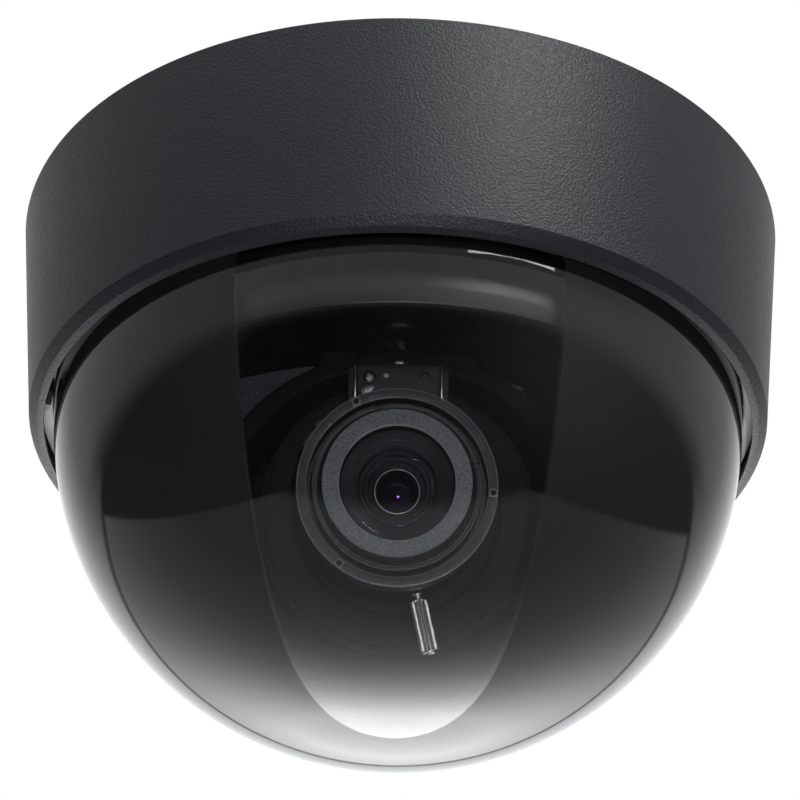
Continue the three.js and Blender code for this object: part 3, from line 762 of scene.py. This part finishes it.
def cradle():
    """The ring that the camera module rolls in, with a boss for each tilt screw."""
    section = [(18.3, -3.5, 0.3), (21.5, -3.5, 0.5), (21.5, 3.5, 0.5), (18.3, 3.5, 0.3)]
    ring = turned("ring", section, MODULE, 120)
    boss = [(1.8, 21), (3.4, 21), (3.4, 24.6, 0.3), (1.8, 24.6, 0.2)]
    bosses = [turned("boss", boss, moved(MODULE, turn=90 * side, about="Y"), 48) for side in SIDES]
    fit(joined("roll_cradle", [ring, *bosses]), SHADED_INNER, "tilt_frame", "inner_plastic", "cradle")


# ---- camera module -----------------------

REAR_BOARD_Z = -16.6  # back face of the rear board
RIDGE_ZONE = 0.35  # only points this close to a grip's outer radius are lowered


def ridged(depth, low, high, radius):
    """Shallow ridges round a grip: every other pair of segments is a little lower."""

    def grip(r, z, k):
        inside = low < z < high and r > radius - RIDGE_ZONE
        return r - depth if inside and (k // 2) % 2 else r

    return grip


def module_housing():
    outline = [
        (10, -9.2, 0.2), (17.6, -9.2, 0.4), (17.6, -6.4), (20.6, -6.4, 0.3), (20.6, -3.8, 0.3), (18, -3.8),
        (18, 3.8, 0.2), (15.6, 3.8), (15.6, 7.2, 0.4), (10, 7.2, 0.3),
    ]
    housing = turned("lens_housing", outline, MODULE, 120)
    fit(housing, SHADED_INNER, "camera_module", "inner_plastic", "module_housing")
    section = [(15.9, 4.1, 0.2), (20.4, 4.1, 0.3), (20.4, 6, 0.3), (15.9, 6, 0.2)]
    nut = turned("lock_nut", section, MODULE, 144, ridged(0.35, 4.2, 5.9, 20.4))
    fit(nut, SHADED_INNER, "camera_module", "lens_plastic", "roll_lock_nut")


def boards():
    for name in ("sensor_board", "rear_board"):
        keep_node(name, BOARD)
    for name in ("board_header", "image_sensor"):
        keep_node(name, CHIP)
    keep_node("sensor_window", COATED)
    sizes = (
        (-7, 7, 7, 7, 1.2), (6, 6, 5, 5, 1.0), (9, -6, 4, 3, 1.1), (-9, -8, 3, 2.2, 1.3),
        (1, 10, 2, 1.2, 0.6), (11, 1, 1.6, 1, 0.5), (-12, 0, 1.6, 1, 0.5), (3, -9, 2, 1.2, 0.6),
    )
    chips = flat_parts("rear_board_chips", sizes, REAR_BOARD_Z, 0.08, MODULE)
    fit(chips, CHIP, "camera_module", "chip")
    for k, (x, y) in enumerate(((12.4, 9.2), (-12.4, -9.2)), 1):
        place = moved(MODULE, x, y, REAR_BOARD_Z - 0.2, 180, "X")
        screw = cross_screw(f"board_screw_{k}", 1.5, 0.9, 0.9, 4, place)
        fit(screw, BRIGHT, "camera_module", "steel")


def wire_connector():
    shell = box("shell", (-6.5, 2.5), (-2.5, 2.5), (-20.9, -16.9), 0.25, MODULE)
    well = box("well", (-5.7, 1.7), (-1.7, 1.7), (-22, -17.8), 0, MODULE)
    fit(cut(shell, well), NYLON, "camera_module", "white_nylon", "wire_connector")
    pins = pin_row("connector_pins", (-5, -3, -1, 1), 0, (-20.2, -17.6), 0.04, MODULE)
    fit(pins, BRIGHT, "camera_module", "steel")


# ---- varifocal lens ----------------------

BORE_R = 11.25  # inner radius of the zoom and focus rings
ZOOM_R = 13.9
ZOOM_Z = (11.4, 17.6)
THUMB_SCREW = spoke(MODULE, -77, 15.6)
FLUTES = 14
FLANGE_R = 14.95
FLANGE_Z = 27.5  # front face of the focus ring's flange
RECESS_R = 13.5
PAD_R = 14.25
PADS = ((-3, 0.72), (-126, 0.66), (-244, 0.7))  # the angle of each pad and half of its width
LUG_ANGLE = 148
GRUB_SCREW = spoke(MODULE, LUG_ANGLE, 20.6)
CELL_R = 12.65
BAND_IN = 11.8  # inner radius of the raised bands on the front cell
STEP_R = 11.75
FACE_R = 11.2
SEAT_EDGE_R = 8.65  # edge of the seat that the front glass lies in
THROAT_R = 7.0


def lens_barrel():
    outline = [
        (7.3, -5, 0.2), (9.6, -5, 0.3), (9.6, 8.3), (13.6, 8.3, 0.2), (13.6, 10.2, 0.3), (10.9, 10.2),
        (10.9, 22.6, 0.2), (7.3, 22.6, 0.2),
    ]
    fit(turned("lens_tube", outline, MODULE, 96), LENS, "camera_module", "lens_plastic", "lens_barrel")
    glass = [(0, -3.6), *arc(20, -89, -70, 8, (0, 16.4))[:-1], (7, -2.3), (7, -1.2, 0.1), (0, -0.6)]
    rear = turned("rear_glass", glass, MODULE, 64)
    fit(rear, COATED, "camera_module", "coated_glass", "rear_element")
    blades = turned("iris_blades", [(2.2, 9.0), (7, 9.0), (7, 9.8), (2.2, 9.8)], MODULE, 64)
    fit(blades, DARK, "camera_module", "dark_steel", "iris_diaphragm")


def zoom_ring():
    low, high = ZOOM_Z
    outline = [(BORE_R, low, 0.2), (ZOOM_R, low, 0.5), (ZOOM_R, high, 0.5), (BORE_R, high, 0.2)]
    ring = turned("ring", outline, MODULE, 144, ridged(0.25, 12, 17, ZOOM_R))
    hole = rod("hole", 1.25, 10, 20, THUMB_SCREW, 0, 32)
    fit(cut(ring, hole), LENS, "zoom_ring", "lens_plastic", "zoom_ring")


def zoom_lock_screw():
    """A knurled thumb screw along a radius: deep straight flutes, turned ends and a thin neck."""
    segments = FLUTES * 8
    head_r = 1.45
    depth = 0.27
    low, high = 15.6, 23.1

    def fluted(r, z, k):
        if not low < z < high:
            return r
        return r - depth * (0.5 - 0.5 * math.cos(2 * math.pi * k * FLUTES / segments)) ** 0.7

    outline = [
        (0, 11.5), (0.9, 11.5), (0.9, 14.1), (1.25, 14.1, 0.15), (1.25, 14.6, 0.15), (0.85, 14.6),
        (0.85, 15.2), (head_r, 15.2, 0.2), (head_r, 15.61), (head_r, 15.62), (head_r, 19), (head_r, 23.08),
        (head_r, 23.12), (head_r, 23.4, 0.2), (0.8, 23.4), (0.6, 23.2, 0.1), (0, 23.2),
    ]
    screw = turned("thumb_screw", outline, THUMB_SCREW, segments, fluted)
    fit(screw, BRIGHT, "zoom_screw", "steel", "zoom_lock_screw")


def focus_ring():
    outline = [
        (BORE_R, 18, 0.2), (14.2, 18, 0.4), (14.2, 23.4), (FLANGE_R, 23.4, 0.25), (FLANGE_R, FLANGE_Z, 0.18),
        (RECESS_R, FLANGE_Z, 0.15), (RECESS_R, 22.8), (BORE_R, 22.8),
    ]
    ring = turned("ring", outline, MODULE, 180, ridged(0.22, 18.5, 23, 14.2))
    lug = box("lug", (13.6, 16.2), (-1.5, 1.5), (19, 22.2), 0.25, moved(MODULE, turn=LUG_ANGLE))
    tab = box("tab", (14.7, 15.5), (-0.6, 0.6), (25.2, 27.3), 0.12, moved(MODULE, turn=141))
    for piece in (lug, ring):
        cut(piece, rod("grub_hole", 0.95, 10, 20, GRUB_SCREW, 0, 24))
    fit(joined("focus_grip", [ring, lug, tab]), LENS, "focus_ring", "lens_plastic", "focus_ring")
    grub = rod("grub_screw", 0.7, 11.6, 16, GRUB_SCREW, 0.1, 24)
    slot = box("slot", (-0.12, 0.12), (-1, 1), (15.6, 17), 0, GRUB_SCREW)
    fit(cut(grub, slot), BRIGHT, "focus_ring", "steel", "focus_lock_screw")


def focus_ring_face():
    """Three square pads with round holes, and rings on the edges of the flange and of the recess inside it;
    pads and rings are a paler grey as a painted highlight of their glints.
    """
    pads = []
    holes = []
    hole_shades = []
    for angle, half in PADS:
        spot = moved(MODULE, turn=angle)
        middle = moved(spot, PAD_R)
        pads.append(box("pad", (PAD_R - half, PAD_R + half), (-half, half), (26.4, 27.72), 0.08, spot))
        holes.append(rod("pad_hole", 0.44, 25.5, 29, middle, 0, 24))
        # Black discs in the pad holes: painted shade.
        hole_shades.append(rod("hole_painted_shade", 0.43, 26.5, 27.56, middle, 0.02, 24))
    fit(cut(joined("pads", pads), *holes), GLINT_GREY, "focus_ring", "lens_plastic")
    fit(joined("pad_holes_painted_shade", hole_shades), BLACKED, "focus_ring", "lens_plastic")
    flange = [(14.74, 27.46), (FLANGE_R, 27.4), (FLANGE_R, 27.52), (14.74, 27.56)]
    fit(turned("flange_line", flange, MODULE, 180), GLINT_GREY, "focus_ring", "lens_plastic")
    recess = [(13.46, 27.4), (13.62, 27.46), (13.62, 27.56), (13.46, 27.5)]
    fit(turned("recess_line", recess, MODULE, 180), GLINT_GREY, "focus_ring", "lens_plastic")


def sector(inner, outer, start, end, low, high):
    """Part of a flat ring between two angles, in the module's frame."""
    steps = max(4, int(abs(end - start) / 3))
    lines = [arc(radius, start, end, steps) for radius in (inner, outer)]
    return band("band", *lines, low, high, 0.06, MODULE)


def front_barrel():
    body = [
        (THROAT_R, 23.7), (CELL_R, 23.7, 0.2), (CELL_R, 27.6, 0.1), (STEP_R, 27.6), (STEP_R, 28.6),
        (FACE_R, 28.6), (FACE_R, 30.6, 0.12), (SEAT_EDGE_R, 30.4, 0.1), (SEAT_EDGE_R, 27.2), (THROAT_R, 27.2),
    ]
    ring = turned("ring", body, MODULE, 180)
    bands = [
        sector(BAND_IN, CELL_R, 106, 221, 27.5, 28.5),
        sector(BAND_IN, 12.5, 17, 102, 27.5, 28.3),
        sector(BAND_IN, 12.2, -136, 14, 27.5, 28.0),
    ]
    fit(joined("front_barrel", [ring, *bands]), LENS, "front_cell", "lens_plastic", "front_cell")


def baffle_cone():
    """A throat behind the front glass that narrows in four steps."""
    mouth_r = 6.95
    mouth_z = 27.15
    step_in = 0.665
    step_down = 0.7
    throat = [(mouth_r, mouth_z)]
    for k in range(4):
        r = mouth_r - step_in * k
        z = mouth_z - step_down * k
        throat += [(r - 0.5, z), (r - step_in, z - step_down)]
    throat += [(4.29, 24), (mouth_r, 24)]
    fit(turned("baffle_cone", throat, MODULE, 120), BLACKED, "front_cell", "lens_plastic")


def front_rings():
    """The annulus in a lighter grey that is painted light from the front lamp, its inner edge in a paler grey
    as a painted highlight, a black ring on the groove floor as painted shade, and the black floor of the
    glass seat.
    """
    # A black ring on the groove floor: painted shade in the groove.
    floor = [(11.23, 28.5), (11.74, 28.5), (11.74, 28.66), (11.23, 28.66)]
    face = [(8.75, 30.55), (11.1, 30.55, 0.05), (11.1, 30.68, 0.05), (8.75, 30.5, 0.05)]
    shelf = [(THROAT_R, 27.22), (8.63, 27.22), (8.63, 30.3), (8.5, 30.3), (8.5, 27.42), (THROAT_R, 27.42)]
    # The rim's paler grey is a painted highlight.
    rim = [(8.55, 30.36), (8.78, 30.4), (8.78, 30.62), (8.6, 30.6)]
    rings = (
        ("groove_painted_shade", floor, BLACKED),
        ("front_annulus", face, FRONT_LIT_GREY),
        ("glass_seat", shelf, BLACKED),
        ("annulus_rim", rim, GLINT_GREY),
    )
    for name, outline, material in rings:
        fit(turned(name, outline, MODULE, 180), material, "front_cell", "lens_plastic")


def front_glass():
    face = arc(25.6, 90, 71, 24, (0, 4.7))
    hollow = arc(14, 66, 90, 16, (0, 14.3))
    outline = [(0, face[0][1]), *face[1:], (8.35, 27.5), (6.6, 27.5), *hollow[:-1], (0, hollow[-1][1])]
    glass = turned("front_glass", outline, MODULE, 120)
    glass.visible_shadow = False
    fit(glass, GLASS, "front_cell", "coated_glass", "front_element")


def inner_elements():
    """Two coated elements deep in the lens, the first in a black mount with a thin steel rim."""
    mount = [(3.45, 21.4, 0.05), (6.4, 21.4), (6.4, 23.2, 0.1), (3.9, 23.2, 0.1), (3.45, 22.8, 0.05)]
    fit(turned("second_mount", mount, MODULE, 96), BLACKED, "camera_module", "lens_plastic")
    rim = turned("second_rim", hoop(3.42, 3.6, 23.15, 23.3, 0.03), MODULE, 96)
    fit(rim, DARK, "camera_module", "dark_steel")
    second = [(0, 22.6), *arc(6, 90, 56, 16, (0, 16.6))[1:], (3.38, 20.6), (0, 20.2)]
    third = [(0, 18.4), *arc(4, 90, 40, 8, (0, 14.4))[1:], (3.0, 15.8), (0, 15.4)]
    for name, outline in (("second_glass", second), ("third_glass", third)):
        fit(turned(name, outline, MODULE, 72), COATED, "camera_module", "coated_glass")


def iris_block():
    body = box("body", (-6.35, 6.35), (14.8, 21.35), (8.2, 15.2), 0.25, MODULE)
    hole = rod("hole", 0.85, 14.2, 16, moved(MODULE, 4.0, 19.3), 0, 24)
    recess = box("recess", (-2.4, -1.4), (18.2, 19.9), (14.7, 16), 0, MODULE)
    seam = box("seam", (-6.4, 6.4), (16.65, 16.8), (15.05, 16), 0, MODULE)
    cut(body, hole, recess, seam)
    neck = box("neck", (-6.3, 6.3), (13.95, 15.2), (7.7, 10.9), 0.1, MODULE)
    cheek_x = [on_side(side, 6.75, 7.65) for side in SIDES]
    cheeks = [box("cheek", x, (14.9, 20.9), (8.4, 14.9), 0.2, MODULE) for x in cheek_x]
    section = [(0, 9.2), (7.6, 9.2, 0.3), (7.6, 14.3, 0.3), (0, 14.3)]
    drum = turned("drum", section, moved(MODULE, 0, 14.5), 96)
    cut(drum, box("below", (-10, 10), (0, 15.0), (7, 16), 0, MODULE))
    motor = joined("iris_motor", [body, neck, *cheeks, drum])
    fit(motor, IRIS, "camera_module", "lens_plastic", "iris_block")


def iris_details():
    """What stands on the iris block: a light tab and latch, bright side plates, a screw and a flat clip."""
    tab = box("tab", (-2.3, -1.5), (19.3, 19.95), (14.8, 15.4), 0.08, MODULE)
    latch = box("latch", (-0.55, 0.75), (21.5, 21.95), (13.6, 15.0), 0.1, MODULE)
    fit(joined("iris_tabs", [tab, latch]), BRIGHT_EDGE, "camera_module", "lens_plastic")
    plate_x = [on_side(side, 6.46, 6.66) for side in SIDES]
    plates = [box("plate", x, (15.1, 21.3), (8.6, 15.45), 0.05, MODULE) for x in plate_x]
    fit(joined("side_plates", plates), BRIGHT, "camera_module", "steel")
    screw = cross_screw("iris_screw", 1.0, 0.5, 0.4, 1.2, moved(MODULE, -4.4, 19.3, 15.25))
    fit(screw, DARK, "camera_module", "dark_steel", "iris_block_screw")
    corners = (
        (-5.7, 17.6), (-4.9, 18.0), (-3.9, 18.1), (-3.5, 17.8), (-3.9, 17.3), (-4.3, 16.6), (-5.0, 16.3),
        (-5.6, 16.8),
    )
    clip = prism("clip", [(x, y, 0.2) for x, y in corners], 15.2, 15.45, 0.05, MODULE)
    fit(clip, DARK, "camera_module", "dark_steel")


# ---- studio ------------------------------

# The lens is in millimetres, and everything else here is in metres.
CAMERA_LENS = 216.6
CAMERA_DISTANCE = 0.7558
CAMERA_BELOW = math.radians(33.46)
CAMERA_ROLL = math.radians(0.75)
CAMERA_TARGET = Vector((0, 0, -0.02918))
CAMERA_SHIFT = 0.0021
SURROUND_R = 7.0
FLOOR_R = 6
FLOOR_Z = -1.8


def camera():
    data = bpy.data.cameras.new("camera")
    data.lens = CAMERA_LENS
    data.sensor_width = 36
    data.shift_x = CAMERA_SHIFT
    data.clip_end = 50
    back = Vector((0, -math.cos(CAMERA_BELOW), -math.sin(CAMERA_BELOW)))
    right = (-back).cross(Vector((0, 0, 1))).normalized()
    up = back.cross(right)
    c, s = math.cos(CAMERA_ROLL), math.sin(CAMERA_ROLL)
    axes = Matrix((c * right + s * up, c * up - s * right, back)).transposed().to_4x4()
    axes.translation = CAMERA_TARGET + back * CAMERA_DISTANCE
    holder = bpy.data.objects.new("camera", data)
    holder.matrix_world = axes
    bpy.context.scene.collection.objects.link(holder)
    bpy.context.scene.camera = holder


def glowing(name, strength):
    material = bpy.data.materials.new(name)
    material.use_nodes = True
    nodes = material.node_tree.nodes
    nodes.clear()
    light = nodes.new("ShaderNodeEmission")
    light.inputs["Strength"].default_value = strength
    out = nodes.new("ShaderNodeOutputMaterial")
    material.node_tree.links.new(light.outputs[0], out.inputs[0])
    return material


def only_seen(piece):
    """A backdrop that the camera sees and that lights nothing."""
    piece.visible_diffuse = False
    piece.visible_glossy = False
    piece.visible_transmission = False
    piece.visible_shadow = False


def backdrop():
    """A white surround and a pale floor for the camera; the world lights and reflects."""
    bm = bmesh.new()
    bmesh.ops.create_uvsphere(bm, u_segments=48, v_segments=24, radius=SURROUND_R)
    shell = from_bmesh("studio_surround", bm, Matrix())
    shell.data.materials.append(glowing("surround_white", 1.0))
    only_seen(shell)
    bm = bmesh.new()
    bmesh.ops.create_circle(bm, cap_ends=True, segments=96, radius=FLOOR_R)
    floor = from_bmesh("studio_floor", bm, Matrix.Translation((0, 0, FLOOR_Z)))
    floor.data.materials.append(glowing("floor_white", 0.96))
    only_seen(floor)


def world():
    """The studio's light by direction: a bright sweep low behind the object, dim sides and a dark front.

    The sweep and the grey table lie below the skyline and the room's wall above it.
    """
    sky = bpy.data.worlds.new("studio")
    bpy.context.scene.world = sky
    sky.use_nodes = True
    nodes = sky.node_tree.nodes
    links = sky.node_tree.links
    coordinates = nodes.new("ShaderNodeTexCoord").outputs["Generated"]

    def math_node(kind, first, second=None):
        node = nodes.new("ShaderNodeMath")
        node.operation = kind
        for socket, value in zip(node.inputs, (first, second)):
            if value is None:
                continue
            if isinstance(value, (int, float)):
                socket.default_value = value
            else:
                links.new(value, socket)
        return node.outputs[0]

    def towards(direction):
        node = nodes.new("ShaderNodeVectorMath")
        node.operation = "DOT_PRODUCT"
        links.new(coordinates, node.inputs[0])
        node.inputs[1].default_value = Vector(direction).normalized()
        return node.outputs["Value"]

    def ramp(value, start, end, low, high, kind="SMOOTHSTEP"):
        node = nodes.new("ShaderNodeMapRange")
        node.interpolation_type = kind
        for name, number in (("From Min", start), ("From Max", end), ("To Min", low), ("To Max", high)):
            node.inputs[name].default_value = number
        links.new(value, node.inputs["Value"])
        return node.outputs["Result"]

    def glow(direction, strength, tightness):
        """Strength x exp(-tightness x (1 - cos angle))."""
        gap = math_node("SUBTRACT", 1.0, towards(direction))
        power = math_node("MULTIPLY", gap, -tightness)
        return math_node("MULTIPLY", math_node("EXPONENT", power), strength)

    height = towards((0, 0, 1))
    behind = towards((0, 1, 0))
    skyline = math_node("ADD", height, ramp(behind, 0.4, 0.7, 0, 0.05))
    wall = math_node("ADD", ramp(behind, -1, 0.5, 0.27, 0.52, "LINEAR"), ramp(behind, 0.6, 1, 0, 1.0))
    far_wall = math_node("MULTIPLY", ramp(skyline, 0.11, 0.16, 0, 1), ramp(behind, 0.3, 0.7, 0, 1))
    room = math_node("MULTIPLY", math_node("MAXIMUM", ramp(skyline, 0.1, 0.29, 0, 1), far_wall), wall)
    sweep = math_node("MINIMUM", glow((0, 0.927, -0.375), 7.0, 10.5), 4.8)
    sweep = math_node("MULTIPLY", sweep, ramp(height, -0.5, 0, 1, 0.7, "LINEAR"))
    table = math_node("ADD", sweep, ramp(behind, 0, 0.6, 0.19, 0.44, "LINEAR"))
    sweep_edges = (
        ((0.363, 0.607, -0.707), 0.012),
        ((-0.359, 0.548, -0.755), 0.012),
        ((0, 0.853, -0.522), 0.06),
    )
    for edge, blur in sweep_edges:
        table = math_node("MULTIPLY", table, ramp(towards(edge), -blur, blur, 0, 1))
    table = math_node("MULTIPLY", table, ramp(skyline, 0.09, 0.13, 1, 0))
    right = glow((0.8, -0.6, 0.0), 0.11, 7.0)
    total = math_node("ADD", room, table)
    total = math_node("ADD", total, right)
    total = math_node("ADD", total, 0.03)
    links.new(total, nodes["Background"].inputs["Strength"])
    nodes["Background"].inputs["Color"].default_value = (0.97, 0.985, 1.0, 1)


LIGHT_TARGET = Vector((0, 0, -0.03))
LIGHT_DISTANCE = 1.5


def light(name, kind, azimuth, elevation, power):
    """A light at a direction from the object; azimuth 0 is in front, positive to its right."""
    data = bpy.data.lights.new(name, kind)
    data.energy = power
    holder = bpy.data.objects.new(name, data)
    a, e = math.radians(azimuth), math.radians(elevation)
    away = Vector((math.sin(a) * math.cos(e), -math.cos(a) * math.cos(e), math.sin(e)))
    holder.location = LIGHT_TARGET + away * LIGHT_DISTANCE
    holder.rotation_euler = away.to_track_quat("Z", "Y").to_euler()
    bpy.context.scene.collection.objects.link(holder)
    return data


def softbox(name, azimuth, elevation, size, power):
    data = light(name, "AREA", azimuth, elevation, power)
    data.shape = "RECTANGLE"
    data.size, data.size_y = size


def front_lamp(azimuth, elevation, power):
    """A bare lamp low in front; it has no size, so a polished surface shows no image of it."""
    data = light("front_lamp", "POINT", azimuth, elevation, power)
    data.shadow_soft_size = 0
    data.color = (0.9, 0.95, 1.0)


def studio():
    camera()
    backdrop()
    world()
    softbox("key", 35.5, 39.5, (0.68, 0.6), 12.2)
    softbox("top_fill", -40, 62, (0.8, 0.5), 2)
    front_lamp(4, -26, 31)
    scene = bpy.context.scene
    scene.view_settings.view_transform = "Standard"
    scene.cycles.use_denoising = True


# ---- everything together -----------------

studio()
housing_cover()
dome_bubble()
bubble_holders()
base_plate()
cable_grommet()
power_electronics()
liner()
shroud_ring()
turntable()
yoke()
pan_hardware()
tilt_hardware()
cradle()
module_housing()
boards()
wire_connector()
lens_barrel()
zoom_ring()
zoom_lock_screw()
focus_ring()
focus_ring_face()
front_barrel()
baffle_cone()
front_rings()
front_glass()
inner_elements()
iris_block()
iris_details()
